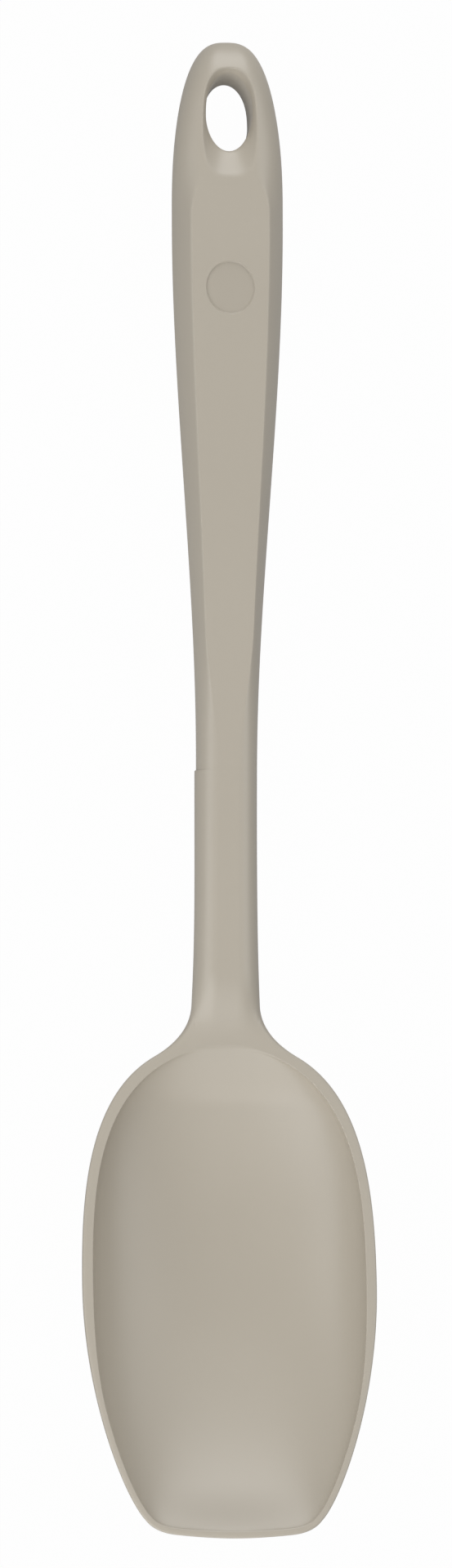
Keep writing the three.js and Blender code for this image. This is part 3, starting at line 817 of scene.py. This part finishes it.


# satin silicone: faint clouding, a fine moulded grain, and painted shade on the recess's floor, coloured darker
def siliconeFinish(name, withRecess):
    material, wire = newMaterial(name)
    place = wire.node("ShaderNodeTexCoord", None, None, "Object")
    broad = cloud(wire, place, silicone["clouds"], 3.0)
    fine = cloud(wire, place, silicone["specks"], 4.0, 0.6)
    grain = cloud(wire, place, silicone["grainScale"], 2.0)
    tone = blendColours(wire, broad * 0.7 + fine * 0.3, silicone["deep"], silicone["pale"])
    if withRecess:
        parts = [wire.node("ShaderNodeSeparateXYZ", None, {0: place}, axis) for axis in "XYZ"]
        across = parts[0] / (recess["width"] / 2000)
        along = (parts[1] - yRecess / 1000) / (recess["length"] / 2000)
        away = wire.maths("SQRT", across * across + along * along)
        # painted shade: mask over the recess's floor, on the front only
        floor = wire.node("ShaderNodeMapRange", {"interpolation_type": "SMOOTHSTEP"},
                          {0: away, 1: 0.93, 2: 0.99, 3: 1.0, 4: 0.0})
        front = wire.maths("GREATER_THAN", parts[2], 0.008)
        # painted shade: the recess's floor is coloured darker than the deep tone
        dull = tuple(c * (1 - silicone["sunk"]) for c in silicone["deep"][:3]) + (1,)
        tone = blendColours(wire, floor * front, tone, dull)
    bump = wire.node("ShaderNodeBump", None, {
        "Strength": silicone["grain"],
        "Distance": silicone["grainHeight"],
        "Height": fine * 0.6 + grain * 0.4,
    })
    shader = wire.node("ShaderNodeBsdfPrincipled", None, {
        "Base Color": tone,
        "Roughness": silicone["roughness"] - 0.04 + fine * 0.08,
        "Normal": bump,
        "IOR": silicone["index"],
    })
    wire.node("ShaderNodeOutputMaterial", None, {0: shader})
    return material


nylon = {"dark": (0.030, 0.030, 0.031, 1), "light": (0.052, 0.052, 0.054, 1), "roughness": 0.55}


# glass-filled nylon: dark, with pale fibre flecks
def nylonFinish():
    material, wire = newMaterial("nylon_core")
    place = wire.node("ShaderNodeTexCoord", None, None, "Object")
    flecks = cloud(wire, place, 1600.0, 5.0, 0.7)
    flow = cloud(wire, place, 90.0, 2.0)
    tone = blendColours(wire, flecks * 0.75 + flow * 0.25, nylon["dark"], nylon["light"])
    bump = wire.node("ShaderNodeBump", None, {"Strength": 0.2, "Distance": 0.0001, "Height": flecks})
    shader = wire.node("ShaderNodeBsdfPrincipled", None, {
        "Base Color": tone, "Roughness": nylon["roughness"] + flecks * 0.1, "Normal": bump,
    })
    wire.node("ShaderNodeOutputMaterial", None, {0: shader})
    return material


steel = {"dull": (0.50, 0.50, 0.51, 1), "bright": (0.62, 0.62, 0.63, 1), "roughness": 0.3}


# brushed steel: fine lines along the spine
def steelFinish():
    material, wire = newMaterial("steel_spine")
    place = wire.node("ShaderNodeTexCoord", None, None, "Object")
    drawn = wire.node("ShaderNodeMapping", None, {"Vector": place, "Scale": (1.0, 0.02, 1.0)})
    lines = cloud(wire, drawn, 4000.0, 3.0, 0.6)
    tone = blendColours(wire, lines, steel["dull"], steel["bright"])
    bump = wire.node("ShaderNodeBump", None, {"Strength": 0.15, "Distance": 0.00005, "Height": lines})
    shader = wire.node("ShaderNodeBsdfPrincipled", None, {
        "Base Color": tone, "Roughness": steel["roughness"] + lines * 0.12, "Normal": bump, "Metallic": 1.0,
    })
    wire.node("ShaderNodeOutputMaterial", None, {0: shader})
    return material


plainSilicone = siliconeFinish("silicone", False)
gripSilicone = siliconeFinish("silicone_grip", True)
for name, (piece, node) in pieces.items():
    piece.data.materials.append(gripSilicone if name == "handle_front" else plainSilicone)
    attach(piece, "root")
    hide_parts(node)
coreNylon = nylonFinish()
for node, finish in (("handle_core", coreNylon), ("bowl_core", coreNylon), ("steel_spine", steelFinish())):
    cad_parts[node].data.materials[0] = finish
print("materials made")


# White floor: it holds the shadow, and with the world shows white to the camera and in reflections
stage = {"size": 3.0, "below": 0.0002, "shade": 0.25, "white": 0.985, "mirrored": 0.4}


def shownWhite(wire):
    ray = "ShaderNodeLightPath"
    seen = wire.node(ray, None, None, "Is Camera Ray") + wire.node(ray, None, None, "Is Transmission Ray")
    mirrored = wire.node(ray, None, None, "Is Glossy Ray") * stage["mirrored"]
    return wire.maths("MINIMUM", seen + mirrored, 1.0)


def makeFloor():
    s = stage["size"]
    corners = np.array([(-s, -s), (s, -s), (s, s), (-s, s)])
    grid = np.concatenate([corners, np.full((4, 1), -stage["below"])], -1)
    mesh = bpy.data.meshes.new("floor")
    mesh.from_pydata(grid.tolist(), [], [(0, 1, 2, 3)])
    material, wire = newMaterial("white_floor")
    shade = stage["shade"]
    paper = wire.node("ShaderNodeBsdfDiffuse", None, {"Color": (shade, shade, shade, 1)})
    glow = wire.node("ShaderNodeEmission", None, {"Color": (1, 1, 1, 1), "Strength": 1.0})
    mixed = wire.node("ShaderNodeMixShader", None, {0: shownWhite(wire) * stage["white"], 1: paper, 2: glow})
    wire.node("ShaderNodeOutputMaterial", None, {0: mixed})
    material.cycles.emission_sampling = "NONE"  # the glow is only seen, so it takes no light samples
    mesh.materials.append(material)
    floor = bpy.data.objects.new("floor", mesh)
    bpy.context.scene.collection.objects.link(floor)


makeFloor()

# Soft studio light: panels facing the ladle, by name, degrees round from +X, degrees up,
# width, height and watts
light = {
    "around": 0.11,
    "away": 1.0,
    "panels": [
        ("key_panel", 228, 44, 0.7, 0.8, 5.1),
        ("tip_panel", 270, 34, 0.7, 0.8, 3.2),
        ("end_panel", 84, 21, 0.7, 0.6, 5.6),
        ("right_panel", 12, 38, 1.0, 0.6, 3.3),
        ("left_panel", 178, 36, 0.7, 0.6, 2.7),
    ],
}


def makeLights():
    world = bpy.data.worlds.new("studio")
    bpy.context.scene.world = world
    world.use_nodes = True
    world.node_tree.nodes.clear()
    wire = Wire(world.node_tree)
    strength = shownWhite(wire) * (1 - light["around"]) + light["around"]
    background = wire.node("ShaderNodeBackground", None, {"Color": (1, 1, 1, 1), "Strength": strength})
    wire.node("ShaderNodeOutputWorld", None, {0: background})
    for name, turn, up, width, height, watts in light["panels"]:
        turn, up = math.radians(turn), math.radians(up)
        away = Vector((math.cos(up) * math.cos(turn), math.cos(up) * math.sin(turn), math.sin(up)))
        lamp = bpy.data.lights.new(name, "AREA")
        lamp.shape, lamp.size, lamp.size_y, lamp.energy = "RECTANGLE", width, height, watts
        panel = bpy.data.objects.new(name, lamp)
        panel.location = away * light["away"]
        panel.rotation_euler = away.to_track_quat("Z", "Y").to_euler()
        bpy.context.scene.collection.objects.link(panel)


makeLights()
print("stage and lights made")

# Camera above the ladle, a little to the left and towards the bowl
view = {
    "away": 2.0,
    "target": (-0.00011, 0.00023, 0.010),
    "toLeft": 5.73,
    "toTip": 2.92,
    "roll": 0.194,
    "millimetresPerPixel": 0.15255,
    "imageHeight": 1920,
    "sensor": 36.0,
}


def makeCamera():
    left, tip, roll = (math.radians(view[k]) for k in ("toLeft", "toTip", "roll"))
    back = Vector((-math.sin(left), -math.sin(tip) * math.cos(left), math.cos(tip) * math.cos(left)))
    back.normalize()
    right = Vector((0, 1, 0)).cross(back).normalized()
    up = back.cross(right)
    turned = right * math.cos(roll) + up * math.sin(roll)
    upright = up * math.cos(roll) - right * math.sin(roll)
    data = bpy.data.cameras.new("camera")
    data.sensor_fit = "VERTICAL"
    data.sensor_height = view["sensor"]
    data.lens = view["sensor"] * view["away"] * 1000 / (view["imageHeight"] * view["millimetresPerPixel"])
    data.clip_start, data.clip_end = 0.05, 20.0
    camera = bpy.data.objects.new("camera", data)
    place = Matrix((turned, upright, back)).transposed().to_4x4()
    place.translation = Vector(view["target"]) + back * view["away"]
    camera.matrix_world = place
    bpy.context.scene.collection.objects.link(camera)
    bpy.context.scene.camera = camera


makeCamera()
bpy.context.scene.view_settings.view_transform = "Standard"
